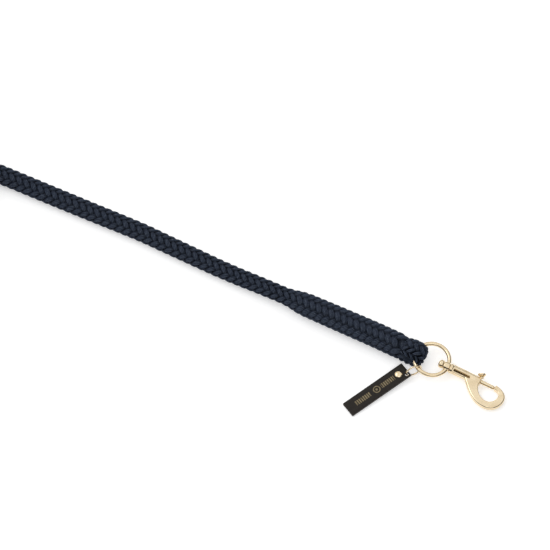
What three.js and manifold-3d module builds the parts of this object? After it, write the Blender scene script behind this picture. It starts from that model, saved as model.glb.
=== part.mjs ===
// Lead rope: braided rope with a spliced eye, a swivel bolt snap and a leather tag.
// Millimetres, +Z up. The rope, the snap and the tag lie on the plane z = 0.
import * as THREE from 'three';
import { mergeVertices } from 'three/addons/utils/BufferGeometryUtils.js';
import Module from 'manifold-3d';

const wasm = await Module();
wasm.setup();

// Driving dimensions.
const GAP = 0.3; // clearance between neighbours
const ROPE_R = 8.8;
const SPLICE_R = 11.8;
const EYE_HALF_WIDTH = 11;
const RING_R = 17.35; // to the middle of the ring's wire
const RING_WIRE_R = 2.15;
const RING_CENTRE = { x: 40.9, y: 33.88 };
const SPLICE_END_X = -165; // the ring's centre is x = 0 in the lengths below
const EYE_NECK_X = -34;
const EYE_Z = 11.8;
const EYE_Y = -1.3; // the eye sits a little to the side of the ring's middle
const BODY_HALF_THICKNESS = 3.2;
const HOOK_REACH = 83.3; // ring centre to the crown of the hook
const BOLT_R = 2.15;
const BOLT_Y = 0.8; // the bolt's axis lies a little to the gate side
const JUMP_WIRE_R = 0.75;
const TAG = { length: 73, width: 16.4, thickness: 3, lift: 4.3 };

// The snap leans from the thick eye down to the crown of the hook, which touches the plane.
const TILT = Math.asin((EYE_Z - BODY_HALF_THICKNESS - 0.1) / (HOOK_REACH + RING_R));
const RING_Z = EYE_Z - RING_R * Math.sin(TILT);

const COLOURS = {
  rope: 0x1f2738, gold: 0xe0c48c, leather: 0x2a2420, webbing: 0x17191d,
};

function finish(kind) {
  const metal = kind === 'gold';
  return new THREE.MeshStandardMaterial({
    color: COLOURS[kind], roughness: metal ? 0.15 : 0.85, metalness: metal ? 1 : 0,
  });
}

function toSolid(geometry) {
  const bare = geometry.index ? geometry.toNonIndexed() : geometry.clone();
  bare.deleteAttribute('normal');
  bare.deleteAttribute('uv');
  const merged = mergeVertices(bare, 1e-4);
  return new wasm.Manifold(new wasm.Mesh({
    numProp: 3,
    vertProperties: new Float32Array(merged.attributes.position.array),
    triVerts: new Uint32Array(merged.index.array),
  }));
}

function toGeometry(solid) {
  const mesh = solid.getMesh();
  const geometry = new THREE.BufferGeometry();
  geometry.setAttribute('position', new THREE.BufferAttribute(mesh.vertProperties, 3));
  geometry.setIndex(new THREE.BufferAttribute(mesh.triVerts, 1));
  return geometry;
}

// The first geometry joined with `add`, less every geometry in `cut`.
function shaped(first, { add = [], cut = [] }) {
  let solid = toSolid(first);
  for (const geometry of add) solid = solid.add(toSolid(geometry));
  for (const geometry of cut) solid = solid.subtract(toSolid(geometry));
  return toGeometry(solid);
}

function named(name, geometry, kind) {
  const mesh = new THREE.Mesh(geometry, finish(kind));
  mesh.name = name;
  return mesh;
}

// A turned shape: [distance along the axis, radius] pairs, with its axis along `direction`.
function turned(profile, sides, direction = new THREE.Vector3(1, 0, 0)) {
  const points = profile.map(([along, radius]) => new THREE.Vector2(radius, along));
  const geometry = new THREE.LatheGeometry(points, sides);
  const up = new THREE.Vector3(0, 1, 0);
  const turn = new THREE.Quaternion().setFromUnitVectors(up, direction.clone().normalize());
  return geometry.applyQuaternion(turn);
}

function rod(radius, from, to, sides) {
  const direction = to.clone().sub(from);
  const long = direction.length();
  const geometry = turned([[0, 0], [0, radius], [long, radius], [long, 0]], sides, direction);
  return geometry.translate(from.x, from.y, from.z);
}

function box(low, high) {
  const size = high.map((value, k) => value - low[k]);
  const geometry = new THREE.BoxGeometry(...size);
  return geometry.translate(...low.map((value, k) => value + size[k] / 2));
}

function hoop(radius, wire, around, across) {
  return new THREE.TorusGeometry(radius, wire, across, around);
}

function polygon(points) {
  return new THREE.Shape(points.map(([x, y]) => new THREE.Vector2(x, y)));
}

// A plate of the given outline, centred on z = 0, with its edges broken by `edge`.
function plate(shape, thickness, edge) {
  const geometry = new THREE.ExtrudeGeometry(shape, {
    depth: thickness - 2 * edge, bevelEnabled: edge > 0, bevelThickness: edge,
    bevelSize: edge, bevelOffset: -edge, bevelSegments: 2, curveSegments: 10,
  });
  return geometry.translate(0, 0, edge - thickness / 2);
}

function circleShape(radius, sides) {
  const points = [];
  for (let k = 0; k < sides; k += 1) {
    const angle = (2 * Math.PI * k) / sides;
    points.push([radius * Math.cos(angle), radius * Math.sin(angle)]);
  }
  return polygon(points);
}

function alongRoute(curve, radius, sides, steps) {
  return new THREE.ExtrudeGeometry(circleShape(radius, sides), {
    steps, extrudePath: curve, bevelEnabled: false,
  });
}

// ---------------------------------------------------------------- rope

// The middle of the rope from the splice to the hank.
const ROPE_ROUTE = [
  [-165.3, -0.8, 11.8], [-178, -0.8, 11.6], [-196, -0.7, 10.7], [-216, -0.7, 9.5],
  [-238, -0.5, 9], [-262, 0.2, 8.9], [-290, 1, 8.9], [-320, 1.9, 8.9],
  [-345, 1.6, 8.9], [-372, 0.9, 8.9], [-400, 0.3, 8.9], [-432, -0.3, 8.9],
  [-462, -0.8, 8.9], [-494.7, -1.4, 8.9],
];

const HANK = {
  right: -495, // its near end
  loopR: 34.2, // middle of the rope in the end loops
  run: 215, // between the centres of the end loops
  middleY: -35.4,
  waist: 9, // half the distance between the runs where the tie holds them
  layer: 17.6,
  endX: -682, // where the rope's last run stops
};

function ropeStanding() {
  const route = new THREE.CatmullRomCurve3(ROPE_ROUTE.map((p) => new THREE.Vector3(...p)));
  return named('rope_standing', alongRoute(route, ROPE_R, 12, 26), 'rope');
}

function ropeSplice() {
  const taper = 16;
  const profile = [
    [SPLICE_END_X, 0], [SPLICE_END_X, ROPE_R], [SPLICE_END_X + taper, SPLICE_R],
    [EYE_NECK_X - GAP, SPLICE_R], [EYE_NECK_X - GAP, 0],
  ];
  return named('rope_splice', turned(profile, 20).translate(0, -0.8, SPLICE_R), 'rope');
}

// The eye is a flattened loop round the ring's wire. Its tunnel flares like a trumpet at both
// ends, so that the curved wire can swing in it.
function ropeEye() {
  const halfHeight = EYE_Z - 0.2;
  const edge = 2.2;
  const wireX = RING_R * Math.cos(TILT);
  const side = new THREE.Shape();
  side.moveTo(EYE_NECK_X, -halfHeight);
  side.lineTo(-wireX, -halfHeight);
  side.absarc(-wireX, 0, halfHeight, -Math.PI / 2, Math.PI / 2, false);
  side.lineTo(EYE_NECK_X, halfHeight);
  side.closePath();
  const body = plate(side, 2 * EYE_HALF_WIDTH, edge).rotateX(Math.PI / 2).translate(0, EYE_Y, 0);
  const flare = [];
  const reach = EYE_HALF_WIDTH + 1.6;
  const innerR = RING_R - RING_WIRE_R;
  for (let k = 0; k <= 10; k += 1) {
    const along = -reach + (2 * reach * k) / 10;
    flare.push([along, RING_R - Math.sqrt(innerR ** 2 - along ** 2) + 2 * GAP]);
  }
  flare.unshift([-reach, 0]);
  flare.push([reach, 0]);
  const tunnel = turned(flare, 28, new THREE.Vector3(0, 1, 0)).translate(-wireX, 0, 0);
  return named('rope_eye', shaped(body, { cut: [tunnel] }).translate(0, 0, EYE_Z), 'rope');
}

// ------------------------------------------------- hank of the stored length

const TIE = { width: 20, thickness: 1.6, bottom: 0.2 };

function hankMiddle() {
  return HANK.right - ROPE_R - HANK.loopR - HANK.run / 2;
}

// Half the hank's outline: y for a place along it, counted from its middle.
function hankHalfWidth(fromMiddle) {
  const flat = 20;
  const slope = HANK.run / 2 - flat;
  const t = Math.min(Math.max((Math.abs(fromMiddle) - flat) / slope, 0), 1);
  const ease = (1 - Math.cos(Math.PI * t)) / 2;
  return HANK.waist + (HANK.loopR - HANK.waist) * ease + ROPE_R;
}

// The upper edge of the hank, from its near end to its far end, counted from its middle.
function hankTop() {
  const top = [];
  for (let k = 0; k <= 12; k += 1) {
    const x = HANK.run / 2 - (HANK.run * k) / 12;
    top.push([x, hankHalfWidth(x)]);
  }
  return top;
}

// The two lower layers: the whole figure, with a square corner where the rope comes in.
function hankOutline() {
  const half = HANK.run / 2;
  const end = HANK.loopR + ROPE_R;
  const shape = new THREE.Shape();
  shape.moveTo(half + end, end);
  for (const [x, y] of hankTop()) shape.lineTo(x, y);
  shape.absarc(-half, 0, end, Math.PI / 2, (3 * Math.PI) / 2, false);
  for (const [x, y] of hankTop().reverse()) shape.lineTo(x, -y);
  shape.absarc(half, 0, end, -Math.PI / 2, 0, false);
  shape.closePath();
  return shape;
}

// The third layer: the rope's last run along the upper side.
function lastRunOutline() {
  const end = HANK.loopR + ROPE_R;
  const near = HANK.run / 2 + end;
  const far = HANK.endX - hankMiddle();
  const top = hankTop().filter(([x]) => x > far);
  top.push([far, hankHalfWidth(far)]);
  const low = top.map(([x, y]) => [x, y - 2 * ROPE_R]).reverse();
  const corner = [[near - 2 * ROPE_R, 0], [near, 0], [near, end]];
  return polygon([...top, ...low, ...corner]);
}

function ropeHank() {
  const twoLayers = 2 * HANK.layer;
  const body = plate(hankOutline(), twoLayers, 0).translate(0, 0, twoLayers / 2 + 0.1);
  const third = plate(lastRunOutline(), HANK.layer + 1, 0);
  third.translate(0, 0, twoLayers + HANK.layer / 2 - 0.4);
  const slot = TIE.width / 2 + GAP;
  const under = box([-slot, -50, -1], [slot, 50, TIE.bottom + TIE.thickness + GAP]);
  const solid = shaped(body, { add: [third], cut: [under] });
  return named('rope_hank', solid.translate(hankMiddle(), HANK.middleY, 0), 'rope');
}

function hankTie() {
  const halfY = HANK.waist + ROPE_R + GAP;
  const low = TIE.bottom + TIE.thickness;
  const high = 3 * HANK.layer + 0.1 + GAP;
  const t = TIE.thickness;
  const w = TIE.width / 2;
  const outer = box([-w, -halfY - t, low - t], [w, halfY + t, high + t]);
  const inner = box([-w - 1, -halfY, low], [w + 1, halfY, high]);
  const solid = shaped(outer, { cut: [inner] });
  return named('hank_tie', solid.translate(hankMiddle(), HANK.middleY, 0), 'webbing');
}

function ropeEnd() {
  const from = HANK.endX - GAP;
  const profile = [[0, 0], [0, ROPE_R + 0.6], [16, ROPE_R + 0.6], [22, ROPE_R - 3], [22, 0]];
  const geometry = turned(profile, 16, new THREE.Vector3(-1, 0, 0));
  const y = HANK.middleY + hankHalfWidth(HANK.endX - hankMiddle()) - ROPE_R;
  geometry.translate(from, y, 2.5 * HANK.layer + 1.2);
  return named('rope_end', geometry, 'rope');
}

// ------------------------------------------ swivel ring and snap, in the snap's own plane

const BOSS = { from: 13, to: 19.7, r: 3.9, bore: 1.9 };
const COLLAR = { from: 20, to: 23, r: 5 };
const BARREL = { to: 53.5, r: 4.4, bore: BOLT_R + GAP, boreFrom: 24.8 };
const SPRING = { from: 25.1, to: 42.6, r: 1.75, wire: 0.35, turns: 9 };
const BOLT = { from: 43, to: 68.1 };

// The hook's outline: the body's gate side, the crown, and back along the opening.
const HOOK_OUTLINE = [
  [22.8, 4.4], [22.8, -4.2], [37.6, -4.2], [41, -8], [45.2, -12.6], [50, -17],
  [55.8, -20.8], [61.6, -23], [68, -23.6], [73.2, -22.7], [77.6, -20.3], [81, -16.4],
  [83, -11.6], [83.3, -7], [82, -3], [79.4, -0.2], [76, 2], [72.6, 3.1], [68.9, 3.4],
  [68.9, -1.1], [72.2, -1.6], [74.6, -3.2], [75.8, -5.9], [75.8, -9.3], [74.2, -12.9],
  [71, -15.6], [67, -16.6], [63.2, -15.9], [59, -13.6], [55.6, -10], [53.4, -5.4],
  [53, -1.6], [53, 4.4],
];

function swivelRing() {
  const ring = hoop(RING_R, RING_WIRE_R, 48, 14);
  const at = (x) => new THREE.Vector3(x, 0, 0);
  const boss = rod(BOSS.r, at(BOSS.from), at(BOSS.to), 20);
  const bore = rod(BOSS.bore, at(BOSS.from - 3), at(BOSS.to + 4), 16);
  return named('swivel_ring', shaped(ring, { add: [boss], cut: [bore] }), 'gold');
}

// The stud's head sits inside the ring and its shank is fast in the collar.
function swivelStud() {
  const shank = BOSS.bore - GAP;
  const headTo = BOSS.from - GAP;
  const profile = [
    [7.6, 0], [7.6, 3.6], [8.2, 4.3], [headTo - 0.7, 4.3], [headTo, 3.9], [headTo, shank],
    [22.3, shank], [22.3, 0],
  ];
  return named('swivel_stud', turned(profile, 18), 'gold');
}

function snapBody() {
  const at = (x, y) => new THREE.Vector3(x, y, 0);
  const hook = plate(polygon(HOOK_OUTLINE), 2 * BODY_HALF_THICKNESS, 0.8);
  const barrel = rod(BARREL.r, at(COLLAR.to - 1, 0), at(BARREL.to, 0), 24);
  const collar = rod(COLLAR.r, at(COLLAR.from, 0), at(COLLAR.to, 0), 24);
  const studHole = rod(BOSS.bore, at(COLLAR.from - 1, 0), at(22.6, 0), 16);
  const bore = rod(BARREL.bore, at(BARREL.boreFrom, BOLT_Y), at(BARREL.to + 1, BOLT_Y), 20);
  const window = box([24.4, -2.7, 0], [42.4, -0.4, 8]);
  const knobSlot = box([38.5, BOLT_Y, -1.9], [BARREL.to + 1, 8, 2.9]);
  const solid = shaped(hook, { add: [barrel, collar], cut: [studHole, bore, window, knobSlot] });
  return named('snap_body', solid, 'gold');
}

function boltRod() {
  const nose = 0.5;
  const profile = [
    [BOLT.from, 0], [BOLT.from, BOLT_R - nose], [BOLT.from + nose, BOLT_R],
    [BOLT.to - nose, BOLT_R], [BOLT.to, BOLT_R - nose], [BOLT.to, 0],
  ];
  return named('bolt_rod', turned(profile, 18).translate(0, BOLT_Y, 0), 'gold');
}

// A mushroom button on a short stem, leaning back from the gate.
function thumbKnob() {
  const lean = new THREE.Vector3(-0.45, 1, 0.25);
  const profile = [
    [3.5, 0], [3.5, 1.5], [5.4, 1.5], [7.4, 4.2], [8.3, 4.2], [9, 3.2], [9.3, 0],
  ];
  return named('thumb_knob', turned(profile, 18, lean).translate(54.7, BOLT_Y, 0), 'gold');
}

class Helix extends THREE.Curve {
  getPoint(t, target = new THREE.Vector3()) {
    const angle = 2 * Math.PI * SPRING.turns * t;
    const along = SPRING.from + SPRING.wire + (SPRING.to - SPRING.from - 2 * SPRING.wire) * t;
    return target.set(along, SPRING.r * Math.cos(angle), SPRING.r * Math.sin(angle));
  }
}

function boltSpring() {
  const coil = alongRoute(new Helix(), SPRING.wire, 6, SPRING.turns * 10);
  return named('bolt_spring', coil.translate(0, BOLT_Y, 0), 'gold');
}

// ---------------------------------------------------------------- tag

const RIVET = { fromFold: 10, capR: 4, postR: 1.5 };
const HOLE = { inset: 3.3, r: 2 };

// The tag's own frame: x along the strap to its fold, y across it, z up from its back.
function tagStrap() {
  const half = TAG.width / 2;
  const bend = TAG.thickness / 2;
  const side = new THREE.Shape();
  side.moveTo(-TAG.length, -bend);
  side.lineTo(-bend, -bend);
  side.absarc(-bend, 0, bend, -Math.PI / 2, Math.PI / 2, false);
  side.lineTo(-TAG.length, bend);
  side.closePath();
  const strap = plate(side, TAG.width, 0.5).rotateX(Math.PI / 2);
  const at = (x, y, z) => new THREE.Vector3(x, y, z);
  const rivetX = -RIVET.fromFold;
  const rivetHole = rod(RIVET.postR + GAP, at(rivetX, 0, -9), at(rivetX, 0, 9), 14);
  const holeY = HOLE.inset - half;
  const ringHole = rod(HOLE.r, at(-HOLE.inset, holeY, -9), at(-HOLE.inset, holeY, 9), 16);
  return named('tag_strap', shaped(strap, { cut: [rivetHole, ringHole] }), 'leather');
}

function tagRivetCap() {
  const low = TAG.thickness / 2 + GAP;
  const profile = [
    [low, 0], [low, 3.8], [low + 0.4, RIVET.capR], [low + 1, 3.5], [low + 1.6, 2.2],
    [low + 1.8, 0],
  ];
  const cap = turned(profile, 20, new THREE.Vector3(0, 0, 1));
  return named('tag_rivet_cap', cap.translate(-RIVET.fromFold, 0, 0), 'gold');
}

function tagRivetPost() {
  const back = -TAG.thickness / 2 - GAP;
  const profile = [
    [back - 0.7, 0], [back - 0.7, 3.2], [back, 3.4], [back, RIVET.postR],
    [TAG.thickness / 2, RIVET.postR], [TAG.thickness / 2, 0],
  ];
  const post = turned(profile, 16, new THREE.Vector3(0, 0, 1));
  return named('tag_rivet_post', post.translate(-RIVET.fromFold, 0, 0), 'gold');
}

// Where the strap lies: the middle of its folded end, and the way its length points.
const TAG_FOLD = { x: -18.9, y: -19 };
const TAG_HEADING = (62.3 * Math.PI) / 180;
const LINK_ANGLE = (241 * Math.PI) / 180; // where the jump ring holds the swivel ring

const snap = new THREE.Group();
snap.position.set(0, 0, RING_Z);
snap.rotation.y = TILT;
snap.add(swivelRing(), swivelStud(), snapBody(), boltRod(), thumbKnob(), boltSpring());

const tag = new THREE.Group();
tag.position.set(TAG_FOLD.x, TAG_FOLD.y, TAG.thickness / 2 + 0.1 + TAG.lift);
tag.rotation.set(0, -Math.asin(TAG.lift / TAG.length), TAG_HEADING, 'ZYX');
tag.add(tagStrap(), tagRivetCap(), tagRivetPost());

// The jump ring is drawn between the hole in the strap and the swivel ring's wire.
function jumpRing() {
  tag.updateMatrixWorld(true);
  const hole = new THREE.Vector3(-HOLE.inset, HOLE.inset - TAG.width / 2, 0);
  hole.applyMatrix4(tag.matrixWorld);
  snap.updateMatrixWorld(true);
  const held = new THREE.Vector3(Math.cos(LINK_ANGLE), Math.sin(LINK_ANGLE), 0);
  held.multiplyScalar(RING_R).applyMatrix4(snap.matrixWorld);
  const across = held.clone().sub(hole);
  const radius = (across.length() + RING_WIRE_R + JUMP_WIRE_R + GAP) / 2;
  const pull = across.clone().normalize();
  const normal = new THREE.Vector3().crossVectors(pull, new THREE.Vector3(0, 0, 1)).normalize();
  const ring = named('tag_jump_ring', hoop(radius, JUMP_WIRE_R, 28, 8), 'gold');
  ring.position.copy(hole).addScaledVector(pull, radius);
  ring.quaternion.setFromUnitVectors(new THREE.Vector3(0, 0, 1), normal);
  return ring;
}

const leadRope = new THREE.Group();
leadRope.position.set(RING_CENTRE.x, RING_CENTRE.y, 0);
leadRope.add(ropeStanding(), ropeSplice(), ropeEye(), ropeHank(), hankTie(), ropeEnd());
leadRope.add(snap, tag, jumpRing());

export default leadRope;
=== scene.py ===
import math

import bmesh
import bpy
import numpy as np
from mathutils import Matrix, Vector


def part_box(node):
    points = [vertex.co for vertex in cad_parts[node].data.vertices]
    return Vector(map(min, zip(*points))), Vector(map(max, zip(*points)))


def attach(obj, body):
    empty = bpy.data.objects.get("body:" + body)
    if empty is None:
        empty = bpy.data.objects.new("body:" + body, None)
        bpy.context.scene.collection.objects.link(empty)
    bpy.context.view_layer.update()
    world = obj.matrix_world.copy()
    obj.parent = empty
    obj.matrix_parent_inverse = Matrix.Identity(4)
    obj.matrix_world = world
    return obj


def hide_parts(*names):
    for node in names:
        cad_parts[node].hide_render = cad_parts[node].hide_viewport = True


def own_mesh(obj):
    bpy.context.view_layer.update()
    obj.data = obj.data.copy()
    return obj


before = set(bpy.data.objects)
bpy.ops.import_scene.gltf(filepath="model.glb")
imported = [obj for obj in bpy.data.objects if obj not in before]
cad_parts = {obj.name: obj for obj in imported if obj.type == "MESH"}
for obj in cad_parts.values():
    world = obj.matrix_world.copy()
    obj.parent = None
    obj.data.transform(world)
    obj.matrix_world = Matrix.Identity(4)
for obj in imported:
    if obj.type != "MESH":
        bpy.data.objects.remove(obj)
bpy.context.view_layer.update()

# The camera looks down on the rope from the snap's gate side, far off with a long lens,
# so that the rope runs from the left edge down to the snap at the right.
SIGHT = Vector((-0.1412, 0.0507, 0.0100))
AZIMUTH = math.radians(26)
ELEVATION = math.radians(62.5)
LENS_MM = 600
FRAME_WIDTH = 0.55
back = Vector((
    math.sin(AZIMUTH) * math.cos(ELEVATION),
    -math.cos(AZIMUTH) * math.cos(ELEVATION),
    math.sin(ELEVATION),
))
camera = bpy.data.objects.new("camera", bpy.data.cameras.new("camera"))
bpy.context.scene.collection.objects.link(camera)
camera.data.lens = LENS_MM
camera.data.clip_end = 60
camera.location = SIGHT + back * (FRAME_WIDTH * LENS_MM / camera.data.sensor_width)
camera.rotation_euler = back.to_track_quat("Z", "Y").to_euler()
bpy.context.scene.camera = camera
bpy.context.scene.view_settings.view_transform = "Standard"

# The rope: a round hollow braid of sixteen soft yarn strands, eight each way, every strand
# over two and under two. One length makes the eye, the spliced section, the free rope and
# the hank. The splice is the tail tucked back up the hollow of the braid.
MM = 0.001
MIDDLE = np.array([40.9, 33.88, 0.0])  # of the swivel ring, from the origin
ROPE_R = 8.8
STRANDS_EACH_WAY = 8
STRAND_HALF_THICK = 1.75
STRAND_WAVE = 1.0
BRAID_PITCH = 63.0
SPLICE_PITCH = 56.0
BRAID_TURN = math.radians(65)

HANK_RIGHT, HANK_LOOP_R, HANK_RUN = -495.0, 34.2, 215.0
HANK_Y, HANK_WAIST, HANK_LAYER, HANK_END_X = -35.4, 9.0, 17.6, -682.0
HANK_MIDDLE_X = HANK_RIGHT - ROPE_R - HANK_LOOP_R - HANK_RUN / 2
TIE_HALF = 20.0


def smooth_line(points, step):
    """A Catmull-Rom curve through the points, with a point about every step millimetres."""
    p = np.array(points, float)
    p = np.vstack([2 * p[0] - p[1], p, 2 * p[-1] - p[-2]])
    parts = []
    for a, b, c, d in zip(p[:-3], p[1:-2], p[2:-1], p[3:]):
        t = np.linspace(0, 1, max(2, int(np.linalg.norm(c - b) / step * 3)), endpoint=False)
        t = t[:, None]
        parts.append(0.5 * (2 * b + (c - a) * t + (2 * a - 5 * b + 4 * c - d) * t ** 2
                            + (3 * b - a - 3 * c + d) * t ** 3))
    return np.vstack(parts + [p[-2:-1]])


def along(line):
    """The distance along a line at each of its points."""
    return np.concatenate([[0], np.cumsum(np.linalg.norm(np.diff(line, axis=0), axis=1))])


def hank_half_width(x):
    """How far each run of the hank lies from its middle: close at the tie, wide at the loops."""
    slope = HANK_RUN / 2 - TIE_HALF
    t = np.clip((abs(x - HANK_MIDDLE_X) - TIE_HALF) / slope, 0, 1)
    return HANK_WAIST + (HANK_LOOP_R - HANK_WAIST) * (1 - math.cos(math.pi * t)) / 2


def hank_run(x0, x1, side, z):
    """Rope points along one run of the hank, raised a little where the tie passes under."""
    points = []
    for x in np.linspace(x0, x1, max(3, int(abs(x1 - x0) / 10))):
        lift = 2.2 * math.exp(-((x - HANK_MIDDLE_X) / 24) ** 2)
        points.append((x, HANK_Y + side * hank_half_width(x), z + lift))
    return points


def hank_loop(x, start, z0, z1):
    """Rope points round one end of the hank, over half a turn, climbing early from z0 to z1."""
    points = []
    for turn in np.arange(12, 180, 12):
        t = min(turn / 125, 1)
        angle = math.radians(start + turn)
        z = z0 + (z1 - z0) * (1 - math.cos(math.pi * t)) / 2
        points.append((x + HANK_LOOP_R * math.cos(angle),
                       HANK_Y + HANK_LOOP_R * math.sin(angle), z))
    return points


near_x, far_x = HANK_MIDDLE_X + HANK_RUN / 2, HANK_MIDDLE_X - HANK_RUN / 2
free_route = [
    (-178, -0.8, 11.6), (-196, -0.7, 10.7), (-216, -0.7, 9.5), (-238, -0.5, 9.1),
    (-262, 0.2, 9.0), (-290, 1.0, 9.0), (-320, 1.9, 9.0), (-345, 1.6, 9.0),
    (-372, 0.9, 9.0), (-400, 0.3, 9.0), (-432, -0.3, 9.0), (-462, -0.8, 9.0),
    (-494.7, -1.4, 9.0), (-515, -1.4, 9.0),
]
level = 9.0
hank_route = []
for turn in range(2):
    hank_route += hank_run(near_x, far_x, 1, level)
    hank_route += hank_loop(far_x, 90, level, level)
    hank_route += hank_run(far_x, near_x, -1, level)
    hank_route += hank_loop(near_x, -90, level, level + HANK_LAYER)
    level += HANK_LAYER
hank_route += hank_run(near_x, HANK_END_X, 1, level)

# From the tail inside the splice, over the ring's wire and back under it, to the hank.
WIRE_X, WIRE_Z = -17.3, 11.8
CROWN_R = 7.0
crown = []
for angle in range(90, -91, -15):
    crown.append((WIRE_X + CROWN_R * math.cos(math.radians(angle)), -1.8,
                  WIRE_Z + CROWN_R * math.sin(math.radians(angle))))
eye_route = (
    [(-60, -1.0, 12.0), (-52, -1.1, 12.2), (-45, -1.3, 12.8), (-39, -1.4, 14.2),
     (-33.5, -1.5, 15.0), (-28.5, -1.6, 17.2), (-24, -1.7, 18.9), (-20, -1.8, 19.2)]
    + crown
    + [(-22, -2.0, 5.4), (-27, -2.1, 7.4), (-31, -2.0, 10.6), (-36, -1.7, 12.5),
       (-43, -1.4, 12.7), (-52, -1.2, 12.7)]
    + [(x, -0.9, 12.7) for x in range(-62, -148, -10)]
    + [(-152, -0.8, 12.4), (-158, -0.8, 12.1), (-165, -0.8, 11.9)]
)
line = smooth_line(eye_route + free_route + hank_route, 0.5)
reach = along(line)
splice_end = reach[np.argmax((reach > 120) & (line[:, 0] < -165.0))]
hank_start = reach[np.argmax(line[:, 0] < -520)]
FINE_STEP = SPLICE_PITCH / 48
ROPE_STEP = BRAID_PITCH / 48
stations = np.concatenate([
    np.arange(0, splice_end, FINE_STEP),
    np.arange(splice_end, hank_start, ROPE_STEP),
    np.arange(hank_start, reach[-1] - 0.2, 2 * ROPE_STEP),
    [reach[-1]],
])
middle = np.stack([np.interp(stations, reach, line[:, k]) for k in range(3)], axis=1)
first_free = int(np.searchsorted(stations, splice_end))
first_hank = int(np.searchsorted(stations, hank_start))

# The half width and half height of the rope at places along it.
crown_at = reach[np.argmax(line[:, 0])]
girth = np.array([
    # from the crown, half width, half height
    (-60, 7.0, 5.0), (-38, 7.0, 4.0), (-28, 7.6, 3.6), (-23, 9.6, 4.6), (-17, 11.0, 5.4),
    (-10, 11.2, 5.0), (0, 10.9, 4.4), (10, 10.9, 4.4), (16, 11.2, 4.8), (21, 11.4, 6.2),
    (26, 12.0, 8.6), (31, 12.9, 12.0), (60, 12.8, 12.1), (100, 12.5, 11.9),
    (132, 12.1, 11.4), (142, 11.3, 10.6), (150, 9.6, 8.8), (158, 8.8, 8.0),
    (185, 8.9, 8.1), (260, 9.3, 8.5), (330, 9.6, 8.8), (400, 9.8, 9.0), (470, 9.8, 9.0),
    (520, 9.5, 8.8), (600, 8.8, 8.8), (2600, 8.8, 8.8),
])
from_crown = stations - crown_at
half_width = np.interp(from_crown, girth[:, 0], girth[:, 1])
half_height = np.interp(from_crown, girth[:, 0], girth[:, 2])
pitch_at = np.interp(from_crown, [-30, -14, 14, 30, 140, 160],
                     [50, 44, 44, SPLICE_PITCH, SPLICE_PITCH, BRAID_PITCH])
wind = np.concatenate([[0], np.cumsum(2 * math.pi * np.diff(stations) / pitch_at[1:])])
wind -= wind[first_free]


def unit(v):
    """Each row of v at length one."""
    return v / np.maximum(np.linalg.norm(v, axis=-1, keepdims=True), 1e-9)


def line_frame(p):
    """Directions across and over the rope at each point of its middle line."""
    ahead = unit(np.gradient(p, axis=0))
    across = np.cross([0, 0, 1.0], ahead)
    across[:, 2] = 0
    in_eye = np.arange(len(p)) < np.searchsorted(stations, crown_at + 60)
    across[in_eye] = [0, -1, 0]
    across = unit(across - ahead * (across * ahead).sum(1, keepdims=True))
    return across, np.cross(ahead, across)


rope_across, rope_over = line_frame(middle)



def strand_line(hand, index, inset, wave):
    """The middle of one strand, and the outward direction there."""
    turn = hand * wind + 2 * math.pi * index / STRANDS_EACH_WAY
    column = 16 * turn / (2 * math.pi)
    swing = np.cos(math.pi / 2 * (column - 0.5))
    over = hand * np.tanh(1.9 * swing) / math.tanh(1.9)
    a, b = half_width - inset, half_height - inset
    c, s = np.cos(turn + BRAID_TURN)[:, None], np.sin(turn + BRAID_TURN)[:, None]
    out = unit(b[:, None] * c * rope_across + a[:, None] * s * rope_over)
    place = middle + a[:, None] * c * rope_across + b[:, None] * s * rope_over
    return place + (wave * over)[:, None] * out, out, hand * swing


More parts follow.
